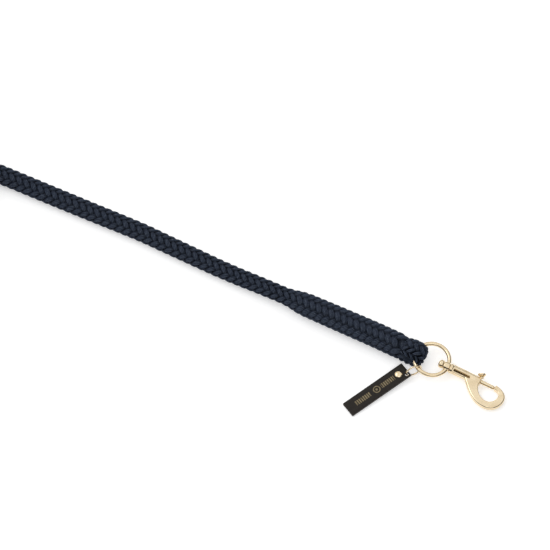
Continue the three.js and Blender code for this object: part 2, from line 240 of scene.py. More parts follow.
def braid(first, last, ring, name):
    """The strands from one station to another as one mesh, each a closed tube of yarn."""
    angles = np.radians(ring)
    sides = len(angles)
    verts, faces, around, down, painted_crease_shade = [], [], [], [], []
    cut = slice(first, last)
    inset = STRAND_HALF_THICK + STRAND_WAVE
    count = last - first
    quad = np.arange(sides)
    base = 0
    for hand in (1, -1):
        for index in range(STRANDS_EACH_WAY):
            place, out, over = strand_line(hand, index, inset, STRAND_WAVE)
            flat, _, _ = strand_line(hand, index, inset, 0)
            beside, _, _ = strand_line(hand, index + 1, inset, 0)
            run = unit(np.gradient(place, axis=0))
            level_run = unit(np.gradient(flat, axis=0))
            gap = beside - flat
            gap = gap - level_run * (gap * level_run).sum(1, keepdims=True)
            wide = np.linalg.norm(gap, axis=1) * (0.475 + 0.06 * over)
            thick = STRAND_HALF_THICK * (1 + 0.16 * over)
            normal = unit(out - run * (out * run).sum(1, keepdims=True))
            side = np.cross(normal, run)
            lobe = np.sign(np.cos(angles)) * np.abs(np.cos(angles)) ** 0.85
            points = (place[cut, None, :]
                      + side[cut, None, :] * (wide[cut, None] * lobe)[:, :, None]
                      + normal[cut, None, :] * (thick[cut, None] * np.sin(angles))[:, :, None])
            verts.append(points.reshape(-1, 3))
            row = base + np.arange(count - 1)[:, None] * sides
            faces.append(np.stack([row + quad, row + (quad + 1) % sides,
                                   row + sides + (quad + 1) % sides, row + sides + quad],
                                  axis=2).reshape(-1, 4))
            ends = [base + quad[::-1], base + (count - 1) * sides + quad]
            faces.append(ends)
            length = along(place[cut])
            around.append((wide[cut, None] * np.arange(sides + 1) / sides * 5.2).ravel())
            down.append(np.repeat(length + 37.0 * index + 300 * hand, sides + 1))
            # Painted shade: each strand's underside, and each stretch where it dips under its
            # neighbours, gets a lower value, which the yarn material paints darker.
            underside_shade = 0.9 * (1 - np.clip(np.sin(angles), 0, 1)) ** 1.4
            painted_crease_shade.append((over[cut, None] - underside_shade).ravel())
            base += count * sides
    everything = np.vstack(verts)
    mesh = bpy.data.meshes.new(name)
    all_faces = []
    for group in faces:
        all_faces += [list(map(int, f)) for f in group]
    mesh.from_pydata(((everything + MIDDLE) * MM).tolist(), [], all_faces)
    layer = mesh.uv_layers.new(name="yarn")
    grid = sides + 1
    coords = np.zeros((len(mesh.loops), 2))
    loop_vert = np.zeros(len(mesh.loops), dtype=np.int64)
    mesh.loops.foreach_get("vertex_index", loop_vert)
    per_strand = count * sides
    strand_of = loop_vert // per_strand
    inside = loop_vert % per_strand
    step_of, corner_of = inside // sides, inside % sides
    table_u, table_v = np.stack(around), np.stack(down)
    starts = np.zeros(len(mesh.polygons), dtype=np.int64)
    totals = np.zeros(len(mesh.polygons), dtype=np.int64)
    mesh.polygons.foreach_get("loop_start", starts)
    mesh.polygons.foreach_get("loop_total", totals)
    is_quad = totals == 4
    wrap = np.zeros(len(mesh.loops), dtype=np.int64)
    for k in range(4):
        loops = starts[is_quad] + k
        first_corner = corner_of[starts[is_quad]]
        wrap[loops] = (corner_of[loops] == 0) & (first_corner == sides - 1)
    corner = np.where(wrap == 1, sides, corner_of)
    coords[:, 0] = table_u[strand_of, step_of * grid + corner]
    coords[:, 1] = table_v[strand_of, step_of * grid + corner]
    layer.data.foreach_set("uv", coords.astype(np.float32).ravel())
    # The per-vertex value for the yarn material's painted shade.
    depth = mesh.attributes.new("float", "FLOAT", "POINT")
    depth.data.foreach_set("value", np.concatenate(painted_crease_shade).astype(np.float32))
    mesh.shade_smooth()
    obj = bpy.data.objects.new(name, mesh)
    bpy.context.scene.collection.objects.link(obj)
    return obj


def shader(name, **values):
    """A new material, with constant values on its shader's own sockets."""
    material = bpy.data.materials.new(name)
    material.use_nodes = True
    surface = material.node_tree.nodes["Principled BSDF"]
    for key, value in values.items():
        surface.inputs[key.replace("_", " ")].default_value = value
    return material, material.node_tree, surface


def node(tree, kind, inputs=None, **settings):
    """A new node: settings are its own properties, and inputs are values or links."""
    made = tree.nodes.new(kind)
    for key, value in settings.items():
        setattr(made, key, value)
    for key, value in (inputs or {}).items():
        if isinstance(value, bpy.types.NodeSocket):
            tree.links.new(value, made.inputs[key])
        else:
            made.inputs[key].default_value = value
    return made


def ramp(tree, source, *stops):
    """A colour ramp over source, from (place, colour) stops."""
    made = node(tree, "ShaderNodeValToRGB", {"Fac": source})
    elements = made.color_ramp.elements
    while len(elements) < len(stops):
        elements.new(0.5)
    for element, (place, colour) in zip(elements, stops):
        element.position = place
        element.color = colour if len(colour) == 4 else (*colour, 1)
    return made.outputs["Color"]


def bump(tree, surface, height, strength, distance, normal=None):
    """Raises the surface by height, on top of an earlier bump's normal if one is given."""
    links = {"Height": height, "Strength": strength, "Distance": distance}
    if normal is not None:
        links["Normal"] = normal
    made = node(tree, "ShaderNodeBump", links)
    tree.links.new(made.outputs["Normal"], surface.inputs["Normal"])
    return made.outputs["Normal"]


# The yarn's navy, with NAVY_DARK as painted shade for the grooves between the yarns and NAVY_LIT
# as painted highlight on their crests.
NAVY_DARK = (0.004, 0.007, 0.018)
NAVY = (0.035, 0.046, 0.070)
NAVY_LIT = (0.165, 0.190, 0.235)

yarn, tree, surface = shader("rope_yarn", Roughness=0.88, Sheen_Weight=0.15,
                             Sheen_Roughness=0.45)
surface.inputs["Sheen Tint"].default_value = (0.25, 0.36, 0.65, 1)
surface.inputs["Specular IOR Level"].default_value = 0.1
uv = node(tree, "ShaderNodeUVMap", uv_map="yarn").outputs["UV"]
place = node(tree, "ShaderNodeMapping", {"Vector": uv, "Rotation": (0, 0, 0.24)})
lines = node(tree, "ShaderNodeTexWave",
             {"Vector": place.outputs["Vector"], "Scale": 0.27, "Distortion": 1.6,
              "Detail": 1.5, "Detail Scale": 1.2},
             wave_type="BANDS", bands_direction="X").outputs["Fac"]
stretched = node(tree, "ShaderNodeMapping", {"Vector": uv, "Scale": (3.4, 0.7, 1)})
fibre = node(tree, "ShaderNodeTexNoise",
             {"Vector": stretched.outputs["Vector"], "Scale": 1.0, "Detail": 3}
             ).outputs["Fac"]
patch = node(tree, "ShaderNodeTexNoise", {"Vector": uv, "Scale": 0.11, "Detail": 2}
             ).outputs["Fac"]
over = node(tree, "ShaderNodeAttribute", attribute_name="float").outputs["Fac"]
crest = node(tree, "ShaderNodeMath", {0: lines, 1: fibre}, operation="MULTIPLY").outputs[0]
# Painted shade and highlight: from NAVY_DARK in the grooves of the yarn lines to NAVY_LIT on
# their crests, mixed with the fibres' own uneven tone.
yarn_painted_shade_and_highlight = ramp(tree, crest, (0.06, NAVY_DARK), (0.34, NAVY), (0.72, NAVY_LIT))
faded = node(tree, "ShaderNodeMixRGB",
             {"Fac": ramp(tree, patch, (0.35, (0, 0, 0)), (0.7, (0.35, 0.35, 0.35))),
              "Color1": yarn_painted_shade_and_highlight, "Color2": (*NAVY, 1)}).outputs["Color"]
# Painted shade: the colour is multiplied darker where a strand dips under its neighbours and on
# each strand's underside, down to 4 % of it at the deepest.
painted_shade_factor = node(tree, "ShaderNodeMapRange",
            {"Value": over, "From Min": -0.15, "From Max": 0.75, "To Min": 0.04,
             "To Max": 1.0}).outputs["Result"]
shaded = node(tree, "ShaderNodeMixRGB",
              {"Fac": 1, "Color1": faded, "Color2": painted_shade_factor}, blend_type="MULTIPLY"
              ).outputs["Color"]
tree.links.new(shaded, surface.inputs["Base Color"])
bumped = bump(tree, surface, lines, 0.75, 0.00045)
bump(tree, surface, fibre, 0.5, 0.00018, bumped)

VIEW_RING = (-8, 22, 52, 90, 128, 158, 188, 240, 300)
HANK_RING = (0, 40, 90, 140, 180, 235, 305)


def joined(parts, name):
    """One object made of several."""
    bpy.ops.object.select_all(action="DESELECT")
    for part in parts:
        part.select_set(True)
    bpy.context.view_layer.objects.active = parts[0]
    bpy.ops.object.join()
    parts[0].name = parts[0].data.name = name
    parts[0].select_set(False)
    return parts[0]


def shade_tube(first, last, name):
    """A closed tube inside the strands, painted almost black as the shade in the braid's hollow
    and in the gaps between its strands.
    """
    count, sides = last - first, 12
    turn = 2 * math.pi * np.arange(sides) / sides
    inset = STRAND_HALF_THICK + 2.1 * STRAND_WAVE
    a, b = half_width[first:last] - inset, half_height[first:last] - inset
    points = (middle[first:last, None, :]
              + rope_across[first:last, None, :] * (a[:, None] * np.cos(turn))[:, :, None]
              + rope_over[first:last, None, :] * (b[:, None] * np.sin(turn))[:, :, None])
    faces = [list(range(sides - 1, -1, -1)),
             [(count - 1) * sides + k for k in range(sides)]]
    for row in range(count - 1):
        for k in range(sides):
            n = (k + 1) % sides
            faces.append([row * sides + k, row * sides + n,
                          (row + 1) * sides + n, (row + 1) * sides + k])
    mesh = bpy.data.meshes.new(name)
    mesh.from_pydata(((points.reshape(-1, 3) + MIDDLE) * MM).tolist(), [], faces)
    mesh.uv_layers.new(name="yarn")
    depth = mesh.attributes.new("float", "FLOAT", "POINT")
    # Painted shade: the lowest value, so the yarn material paints the tube almost black.
    depth.data.foreach_set("value", np.full(len(mesh.vertices), -1, np.float32))
    obj = bpy.data.objects.new(name, mesh)
    bpy.context.scene.collection.objects.link(obj)
    return obj


last_station = len(stations)
rope = joined([
    braid(first_free, first_hank + 1, VIEW_RING, "free_rope"),
    braid(first_hank, last_station, HANK_RING, "hank_rope"),
    shade_tube(first_free, last_station, "rope_shade_tube"),
], "rope")
rope.data.materials.append(yarn)
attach(rope, "rope")
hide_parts("rope_standing", "rope_hank")

# The eye and the spliced section: the same braid, flattened where it bends round the ring's
# wire and swollen over the tucked tail.
spliced_eye = joined([
    braid(0, first_free + 1, VIEW_RING, "eye_strands"),
    shade_tube(0, first_free + 1, "eye_shade_tube"),
], "spliced_eye")
spliced_eye.data.materials.append(yarn)
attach(spliced_eye, "rope")
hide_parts("rope_splice", "rope_eye")

# The tie: a closed band of black ribbed webbing round the hank's waist, drawn snug over
# both layers of rope with rounded corners. It only keeps the spare length tidy.
def new_object(name, verts, faces, place=None):
    """A mesh object from millimetre points, moved by place."""
    mesh = bpy.data.meshes.new(name)
    mesh.from_pydata([(Vector(v) * MM) for v in verts], [], faces)
    if place is not None:
        mesh.transform(place)
    mesh.shade_smooth()
    obj = bpy.data.objects.new(name, mesh)
    bpy.context.scene.collection.objects.link(obj)
    return obj


def fitted(obj, material, body, slot, *nodes):
    """Gives a piece its finish, if it has none yet, and its body, and hides the nodes that it
    stands for.
    """
    if not obj.data.materials:
        obj.data.materials.append(material)
    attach(obj, body)
    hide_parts(*nodes)
    return obj


webbing, tree, surface = shader("tie_webbing", Roughness=0.8, Sheen_Weight=0.2)
surface.inputs["Specular IOR Level"].default_value = 0.3
where = node(tree, "ShaderNodeTexCoord").outputs["Object"]
ribs = node(tree, "ShaderNodeTexWave", {"Vector": where, "Scale": 420, "Distortion": 0.6},
            wave_type="BANDS", bands_direction="X").outputs["Fac"]
cross_ribs = node(tree, "ShaderNodeTexWave", {"Vector": where, "Scale": 260},
                  wave_type="BANDS", bands_direction="DIAGONAL").outputs["Fac"]
weave = node(tree, "ShaderNodeMath", {0: ribs, 1: cross_ribs}, operation="MULTIPLY").outputs[0]
tree.links.new(ramp(tree, weave, (0.1, (0.004, 0.0045, 0.006)), (0.8, (0.022, 0.024, 0.03))),
               surface.inputs["Base Color"])
bump(tree, surface, weave, 0.7, 0.0004)

low, high = (np.array(corner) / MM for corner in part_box("hank_tie"))
tie_middle = (low + high) / 2
tie_half = (high - low) / 2
loop = []
for corner_y, corner_z, first_turn in ((1, 1, 0), (-1, 1, 90), (-1, -1, 180), (1, -1, 270)):
    radius = 7.0
    for turn in range(0, 91, 15):
        angle = math.radians(first_turn + turn)
        loop.append((corner_y * (tie_half[1] - radius) + radius * math.cos(angle),
                     corner_z * (tie_half[2] - radius) + radius * math.sin(angle)))
loop = np.array(loop)
outward = unit(np.gradient(loop, axis=0))[:, ::-1] * [1, -1]
section = [(-10, 0.5), (-9.6, 0.1), (9.6, 0.1), (10, 0.5), (10, 1.1), (9.6, 1.5),
           (-9.6, 1.5), (-10, 1.1)]
verts, faces = [], []
for (y, z), (oy, oz) in zip(loop, outward):
    for x, depth in section:
        verts.append((x + tie_middle[0], y - depth * oy + tie_middle[1],
                      z - depth * oz + tie_middle[2]))
rings, sides = len(loop), len(section)
for r in range(rings):
    for k in range(sides):
        n, m = (r + 1) % rings, (k + 1) % sides
        faces.append([r * sides + k, n * sides + k, n * sides + m, r * sides + m])
tie = new_object("hank_tie_strip", verts, faces)
fitted(tie, webbing, "rope", "tie_webbing", "hank_tie")

# The whipped end: waxed twine wound tight round the last of the rope, and the cut strands
# melted to a blunt face.
def turned(profile, sides=48):
    """Points and faces of a closed turned shape: (along x, radius) pairs from end to end."""
    verts, faces = [], []
    turn = [2 * math.pi * k / sides for k in range(sides)]
    for x, r in profile:
        verts += [(x, r * math.cos(a), r * math.sin(a)) for a in turn]
    for row in range(len(profile) - 1):
        for k in range(sides):
            n = (k + 1) % sides
            faces.append([row * sides + k, (row + 1) * sides + k,
                          (row + 1) * sides + n, row * sides + n])
    faces.append(list(range(sides)))
    last = (len(profile) - 1) * sides
    faces.append([last + k for k in range(sides - 1, -1, -1)])
    return verts, faces


def facing(obj):
    """Turns a closed mesh's faces outward."""
    work = bmesh.new()
    work.from_mesh(obj.data)
    bmesh.ops.recalc_face_normals(work, faces=work.faces)
    work.to_mesh(obj.data)
    work.free()
    obj.data.shade_smooth()
    obj.data.set_sharp_from_angle(angle=math.radians(40))
    return obj


low, high = (np.array(corner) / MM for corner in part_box("rope_end"))
end_place = Matrix.Translation((Vector((high[0], (low[1] + high[1]) / 2,
                                        (low[2] + high[2]) / 2))) * MM)
TWINE_TURNS, TWINE_PITCH, TWINE_LOW, TWINE_RISE = 13, 1.25, 8.75, 0.6
profile = [(0, 0.5), (0, 8.7)]
for wrap in range(TWINE_TURNS):
    for k in range(6):
        x = wrap * TWINE_PITCH + k * TWINE_PITCH / 6
        profile.append((-0.4 - x, TWINE_LOW + TWINE_RISE * math.sin(math.pi * k / 6)))
profile += [(-17, 8.5), (-19.5, 8.1), (-21.2, 6.6), (-21.9, 3.5), (-21.9, 0.4)]
whipping = facing(new_object("whipped_end", *turned(profile, 40), end_place))
fitted(whipping, yarn, "rope", "rope_yarn", "rope_end")
whipping.data.uv_layers.new(name="yarn")
# The yarn material's painted-shade value, one even level over the whole whipping, so it gets no
# painted crease shade.
flat_over = whipping.data.attributes.new("float", "FLOAT", "POINT")
flat_over.data.foreach_set("value", np.full(len(whipping.data.vertices), 0.6, np.float32))

# The swivel ring: a cast wire ring with a bored boss, plated in polished pale gold. It
# carries the rope's eye, and the snap's stud turns in its boss.
GOLD = (0.85, 0.71, 0.49)
GOLD_WARM = (0.76, 0.61, 0.40)
RING_R, WIRE_R = 17.35, 2.15
SNAP_REACH, SNAP_REST = 83.3, 3.3  # the hook's far end, and its height on the floor
TILT = math.asin((WIRE_Z - SNAP_REST) / (SNAP_REACH + RING_R))
ring_z = WIRE_Z - RING_R * math.sin(TILT)
SNAP_PLACE = (Matrix.Translation(Vector((MIDDLE[0], MIDDLE[1], ring_z)) * MM)
              @ Matrix.Rotation(TILT, 4, "Y"))

gold, tree, surface = shader("gold_plate", Metallic=1.0)
where = node(tree, "ShaderNodeTexCoord").outputs["Object"]
cloud = node(tree, "ShaderNodeTexNoise", {"Vector": where, "Scale": 90, "Detail": 3}
             ).outputs["Fac"]
tree.links.new(ramp(tree, cloud, (0.35, GOLD_WARM), (0.6, GOLD)), surface.inputs["Base Color"])
fine = node(tree, "ShaderNodeTexNoise", {"Vector": where, "Scale": 900, "Detail": 4}
            ).outputs["Fac"]
dull = node(tree, "ShaderNodeMapRange", {"Value": fine, "From Min": 0.3, "From Max": 0.7,
                                         "To Min": 0.10, "To Max": 0.20}).outputs["Result"]
tree.links.new(dull, surface.inputs["Roughness"])
bump(tree, surface, fine, 0.12, 0.00006)


def settled(obj):
    """Applies the object's modifiers to its mesh."""
    graph = bpy.context.evaluated_depsgraph_get()
    mesh = bpy.data.meshes.new_from_object(obj.evaluated_get(graph))
    obj.modifiers.clear()
    obj.data = mesh
    mesh.name = obj.name
    return obj


def eased(profile, radius):
    """The profile with each inner corner rounded."""
    points = [Vector(p) for p in profile]
    out = [profile[0]]
    for a, b, c in zip(points, points[1:], points[2:]):
        back_way, on_way = a - b, c - b
        cut = min(radius, 0.45 * back_way.length, 0.45 * on_way.length)
        start, stop = b + back_way.normalized() * cut, b + on_way.normalized() * cut
        for t in (0, 0.25, 0.5, 0.75, 1):
            p = start * (1 - t) ** 2 + b * 2 * t * (1 - t) + stop * t * t
            out.append((p.x, p.y))
    out.append(profile[-1])
    return out


def hoop(radius, wire, around=96, across=24):
    """Points and faces of a round wire ring lying in its own x and y."""
    verts, faces = [], []
    for i in range(around):
        a = 2 * math.pi * i / around
        for j in range(across):
            b = 2 * math.pi * j / across
            r = radius + wire * math.cos(b)
            verts.append((r * math.cos(a), r * math.sin(a), wire * math.sin(b)))
    for i in range(around):
        for j in range(across):
            n, m = (i + 1) % around, (j + 1) % across
            faces.append([i * across + j, n * across + j, n * across + m, i * across + m])
    return verts, faces


def combined(obj, other, operation):
    """Joins other to obj or cuts it away, and removes other."""
    cutter = obj.modifiers.new("shape", "BOOLEAN")
    cutter.operation = operation
    cutter.solver = "EXACT"
    cutter.object = other
    settled(obj)
    bpy.data.objects.remove(other)
    return obj


def cast(obj, voxel, passes):
    """Turns joined shapes into one skin with soft cast corners."""
    skin = obj.modifiers.new("skin", "REMESH")
    skin.mode = "VOXEL"
    skin.voxel_size = voxel * MM
    skin.use_smooth_shade = True
    soften = obj.modifiers.new("soften", "SMOOTH")
    soften.factor = 0.5
    soften.iterations = passes
    return settled(obj)


ring = facing(new_object("ring", *hoop(RING_R, WIRE_R, 240, 48)))
boss = eased([(12.9, 1.8), (12.9, 3.6), (13.6, 4.2), (18.9, 4.3), (19.7, 3.8), (19.7, 1.8)], 0.5)
combined(ring, facing(new_object("boss", *turned([(12.9, 0.1)] + boss + [(19.7, 0.1)]))), "UNION")
bore = [(9, 0.1), (9, 1.9), (24, 1.9), (24, 0.1)]
combined(ring, facing(new_object("bore", *turned(bore))), "DIFFERENCE")
cast(ring, 0.2, 12)
ring.data.transform(SNAP_PLACE)
fitted(ring, gold, "ring", "gold_plate", "swivel_ring")

# The swivel stud: a turned rivet through the ring's boss and into the snap's collar, with a
# two-step head inside the ring. It turns in the boss and so lets the snap swivel.
stud_profile = eased([(7.6, 0.2), (7.6, 2.6), (8.6, 3.0), (8.6, 4.0), (9.3, 4.3), (11.9, 4.3),
                      (12.65, 3.7), (12.65, 1.6), (22.3, 1.6), (22.3, 0.2)], 0.35)
stud = facing(new_object("stud", *turned(stud_profile), SNAP_PLACE))
fitted(stud, gold, "snap", "gold_plate", "swivel_stud")

# The snap body: collar, barrel and hook in one casting, flat on both faces with rounded
# edges. The barrel is bored for the bolt, with a window over the spring and a slot in which
# the thumb knob slides.
OUTER_EDGE = [(37.6, -4.2), (41, -8), (45.2, -12.6), (50, -17), (55.8, -20.8), (61.6, -23),
              (68, -23.6), (73.2, -22.7), (77.6, -20.3), (81, -16.4), (83, -11.6),
              (83.3, -7), (82, -3), (79.4, -0.2), (76, 2), (72.6, 3.1), (68.9, 3.4)]
INNER_EDGE = [(68.9, -1.1), (72.2, -1.6), (74.6, -3.2), (75.8, -5.9), (75.8, -9.3),
              (74.2, -12.9), (71, -15.6), (67, -16.6), (63.2, -15.9), (59, -13.6),
              (55.6, -10), (53.4, -5.4), (53, -1.6)]
HALF_THICK = 3.2
outer = smooth_line([(x, y, 0) for x, y in OUTER_EDGE], 2.0)[:, :2]
inner = smooth_line([(x, y, 0) for x, y in INNER_EDGE], 2.0)[:, :2]


def thinned(points, least):
    """The points without those nearer than least to the last one kept."""
    kept = [points[0]]
    for p in points[1:]:
        if np.linalg.norm(p - kept[-1]) >= least:
            kept.append(p)
    return kept


outline = ([np.array(p) for p in ((53, 4.4), (22.8, 4.4), (22.8, -4.2), (30, -4.2))]
           + thinned(outer, 0.7) + thinned(inner, 0.7))
edge_count = len(thinned(outer, 0.7))
toward_nose = np.clip((np.arange(edge_count) - (edge_count - 9)) / 8, 0, 1)
roundness = np.concatenate([[1.0] * 4, 1.9 - 1.1 * toward_nose,
                            [0.8] * len(thinned(inner, 0.7))])
outline = np.array(outline)
ahead = unit(np.roll(outline, -1, axis=0) - np.roll(outline, 1, axis=0))
inward = ahead[:, ::-1] * [-1, 1]
layers = []
for turn in range(90, -1, -15):
    a = math.radians(turn)
    layers.append((HALF_THICK - roundness * (1 - math.sin(a)), roundness * (1 - math.cos(a))))
layers += [(-z, inset) for z, inset in layers[::-1]]
verts, faces = [], []
for z, inset in layers:
    flat = outline + inward * inset[:, None]
    verts += [(x, y, h) for (x, y), h in zip(flat, z)]
count = len(outline)
for row in range(len(layers) - 1):
    for k in range(count):
        n = (k + 1) % count
        faces.append([row * count + k, (row + 1) * count + k,
                      (row + 1) * count + n, row * count + n])
faces.append(list(range(count)))
faces.append([(len(layers) - 1) * count + k for k in range(count - 1, -1, -1)])
snap_body = facing(new_object("snap", verts, faces))
barrel = eased([(19.9, 0.1), (19.9, 4.6), (20.3, 5.0), (22.7, 5.0), (23.2, 4.5), (24.2, 4.4),
                (53.0, 4.4), (53.6, 3.8), (53.6, 0.1)], 0.5)
combined(snap_body, facing(new_object("barrel", *turned(barrel))), "UNION")


def block(low, high):
    """Points and faces of a plain cutter."""
    verts = [(x, y, z) for x in (low[0], high[0]) for y in (low[1], high[1])
             for z in (low[2], high[2])]
    return verts, [[0, 1, 3, 2], [4, 6, 7, 5], [0, 4, 5, 1], [2, 3, 7, 6], [0, 2, 6, 4],
                   [1, 5, 7, 3]]


BOLT_Y = 0.8
for low, high in (((24.4, -2.7, 0), (42.4, -0.4, 8)), ((38.5, BOLT_Y, -1.9), (54.5, 8, 2.9))):
    combined(snap_body, facing(new_object("cut", *block(low, high))), "DIFFERENCE")
for profile, y in (([(18, 0.1), (18, 1.9), (22.6, 1.9), (22.6, 0.1)], 0),
                   ([(24.8, 0.1), (24.8, 2.45), (54.5, 2.45), (54.5, 0.1)], BOLT_Y)):
    cutter = new_object("cut", *turned(profile), Matrix.Translation((0, y * MM, 0)))
    combined(snap_body, facing(cutter), "DIFFERENCE")
cast(snap_body, 0.2, 5)
snap_body.data.transform(SNAP_PLACE)
fitted(snap_body, gold, "snap", "gold_plate", "snap_body")

# The bolt and its thumb knob: a turned gold-plated rod that the spring pushes against the
# hook's nose, and a mushroom button screwed into its side.
bolt_profile = eased([(43, 0.2), (43, 1.5), (43.6, 2.1), (67.2, 2.1), (68.2, 1.7), (68.6, 0.9),
                      (68.6, 0.2)], 0.4)
bolt = facing(new_object("bolt", *turned(bolt_profile),
                         SNAP_PLACE @ Matrix.Translation((0, BOLT_Y * MM, 0))))
fitted(bolt, gold, "bolt", "gold_plate", "bolt_rod")

knob_profile = eased([(3.5, 0.2), (3.5, 1.75), (5.1, 1.8), (6.0, 2.7), (7.0, 4.1), (7.8, 4.35),
                      (8.5, 4.2), (8.9, 3.3), (8.6, 1.6), (8.7, 0.2)], 0.4)
lean = Vector((-0.45, 1, 0.25)).to_track_quat("X", "Z").to_matrix().to_4x4()
knob = facing(new_object(
    "thumb_button", *turned(knob_profile),
    SNAP_PLACE @ Matrix.Translation(Vector((54.7, BOLT_Y, 0)) * MM) @ lean))
fitted(knob, gold, "bolt", "gold_plate", "thumb_knob")

# The bolt spring: gold-washed spring wire, nine turns, held between the barrel's end and the
# bolt, and pressed shorter as the knob is drawn back.
SPRING_FROM, SPRING_TO, SPRING_R, SPRING_WIRE, SPRING_TURNS = 25.1, 42.6, 1.75, 0.35, 9
steps, sides = SPRING_TURNS * 28, 10
verts, faces = [], []
for k in range(steps + 1):
    a = 2 * math.pi * SPRING_TURNS * k / steps
    x = SPRING_FROM + SPRING_WIRE + (SPRING_TO - SPRING_FROM - 2 * SPRING_WIRE) * k / steps
    for j in range(sides):
        b = 2 * math.pi * j / sides
        r = SPRING_R + SPRING_WIRE * math.cos(b)
        verts.append((x + SPRING_WIRE * math.sin(b), BOLT_Y + r * math.cos(a), r * math.sin(a)))
for k in range(steps):
    for j in range(sides):
        m = (j + 1) % sides
        faces.append([k * sides + j, k * sides + m, (k + 1) * sides + m, (k + 1) * sides + j])
faces += [list(range(sides)), [steps * sides + j for j in range(sides - 1, -1, -1)]]
wire, tree, surface = shader("spring_wire", Metallic=1.0)
where = node(tree, "ShaderNodeTexCoord").outputs["Object"]
drawn = node(tree, "ShaderNodeTexNoise", {"Vector": where, "Scale": 1500, "Detail": 2}
             ).outputs["Fac"]
tree.links.new(ramp(tree, drawn, (0.3, (0.55, 0.44, 0.26)), (0.7, (0.78, 0.66, 0.44))),
               surface.inputs["Base Color"])
tree.links.new(ramp(tree, drawn, (0.3, (0.22, 0.22, 0.22)), (0.7, (0.34, 0.34, 0.34))),
               surface.inputs["Roughness"])
spring = facing(new_object("spring", verts, faces, SNAP_PLACE))
fitted(spring, wire, "snap", "spring_wire", "bolt_spring")
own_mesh(spring)

# The tag: one strip of near-black leather folded over and riveted through both layers, with
# dark painted edges and a plain foil band. A jump ring through its corner hangs it on the
# swivel ring.
TAG_LENGTH, TAG_WIDTH, TAG_THICK, TAG_LIFT = 73.0, 16.4, 3.0, 4.3
TAG_HEADING = math.radians(62.3)
TAG_FOLD = (-18.9, -19.0)
TAG_PLACE = (
    Matrix.Translation(Vector((MIDDLE[0] + TAG_FOLD[0], MIDDLE[1] + TAG_FOLD[1],
                               TAG_THICK / 2 + 0.1 + TAG_LIFT)) * MM)
    @ Matrix.Rotation(TAG_HEADING, 4, "Z")
    @ Matrix.Rotation(-math.asin(TAG_LIFT / TAG_LENGTH), 4, "Y")
)
half = TAG_THICK / 2
profile = [(-TAG_LENGTH, half)]
profile += [(x, half) for x in np.arange(-70, -2, 2.0)]
profile += [(-half + half * math.sin(math.radians(a)), half * math.cos(math.radians(a)))
            for a in range(0, 181, 15)]
profile += [(x, -half) for x in np.arange(-4, -71, -2.0)]
profile += [(-TAG_LENGTH, -half), (-TAG_LENGTH, -0.1), (-2.0, -0.1), (-1.7, 0),
            (-2.0, 0.1), (-TAG_LENGTH, 0.1)]
EDGE = 0.35
outline = np.array(profile)
ahead = unit(np.roll(outline, -1, axis=0) - np.roll(outline, 1, axis=0))
outward = ahead[:, ::-1] * [1, -1]
verts, faces = [], []
slices = [(-8.2, EDGE), (-8.08, 0.12), (-7.85, 0)] + [(y, 0) for y in (-5, -2, 2, 5)] + [
    (7.85, 0), (8.08, 0.12), (8.2, EDGE)]
for y, inset in slices:
    shrunk = outline.copy()
    shrunk[:, 1] -= np.sign(shrunk[:, 1]) * np.where(abs(shrunk[:, 1]) > 0.5, inset, 0)
    shrunk[:, 0] = np.clip(shrunk[:, 0], -TAG_LENGTH + inset, -inset)
    verts += [(x, y, z) for x, z in shrunk]
count = len(outline)
for row in range(len(slices) - 1):
    for k in range(count):
        n = (k + 1) % count
        faces.append([row * count + k, (row + 1) * count + k,
                      (row + 1) * count + n, row * count + n])
faces.append(list(range(count)))
faces.append([(len(slices) - 1) * count + k for k in range(count - 1, -1, -1)])
strap = facing(new_object("strap", verts, faces))
RIVET_X, LINK_HOLE = -10, (-3.3, 3.3 - TAG_WIDTH / 2)
for x, y, r in ((RIVET_X, 0, 1.8), (*LINK_HOLE, 2.0)):
    upright = Matrix.Translation((x * MM, y * MM, 0)) @ Matrix.Rotation(math.pi / 2, 4, "Y")
    hole = new_object("hole", *turned([(-6, r), (6, r)], 32), upright)
    combined(strap, facing(hole), "DIFFERENCE")

leather, tree, surface = shader("tag_leather")
surface.inputs["Specular IOR Level"].default_value = 0.2
uv = node(tree, "ShaderNodeUVMap", uv_map="tag").outputs["UV"]
pores = node(tree, "ShaderNodeTexVoronoi", {"Vector": uv, "Scale": 1.5, "Randomness": 1.0}
             ).outputs["Distance"]
hide = node(tree, "ShaderNodeTexNoise", {"Vector": uv, "Scale": 0.35, "Detail": 4}
            ).outputs["Fac"]
skin = ramp(tree, hide, (0.3, (0.013, 0.010, 0.008)), (0.7, (0.022, 0.018, 0.014)))


def calc(operation, a, b=0.0, c=0.0):
    """A math node over sockets or numbers, in the node tree being made."""
    return node(tree, "ShaderNodeMath", {0: a, 1: b, 2: c}, operation=operation).outputs[0]


parts = node(tree, "ShaderNodeSeparateXYZ", {"Vector": uv}).outputs
from_disc = calc("POWER", calc("ADD", calc("POWER", calc("ADD", parts["X"], 37), 2),
                               calc("POWER", parts["Y"], 2)), 0.5)
disc_ring = calc("COMPARE", from_disc, 3.3, 0.55)
disc_dot = calc("LESS_THAN", from_disc, 1.3)
bars = calc("LESS_THAN", calc("FRACT", calc("MULTIPLY", parts["X"], 0.43)), 0.62)
tall = calc("LESS_THAN", calc("ABSOLUTE", parts["Y"]), 2.5)
left_band = calc("COMPARE", parts["X"], -53.5, 9.3)
right_band = calc("COMPARE", parts["X"], -23.5, 8.0)
bands = calc("MULTIPLY", calc("MULTIPLY", bars, tall), calc("MAXIMUM", left_band, right_band))
upper = calc("GREATER_THAN", node(tree, "ShaderNodeUVMap", uv_map="side").outputs["UV"], 0.2)
foil = calc("MULTIPLY", calc("MAXIMUM", calc("MAXIMUM", disc_ring, disc_dot), bands), upper)
worn = calc("MULTIPLY", foil, ramp(tree, hide, (0.25, (0.35,) * 3), (0.55, (0.85,) * 3)))
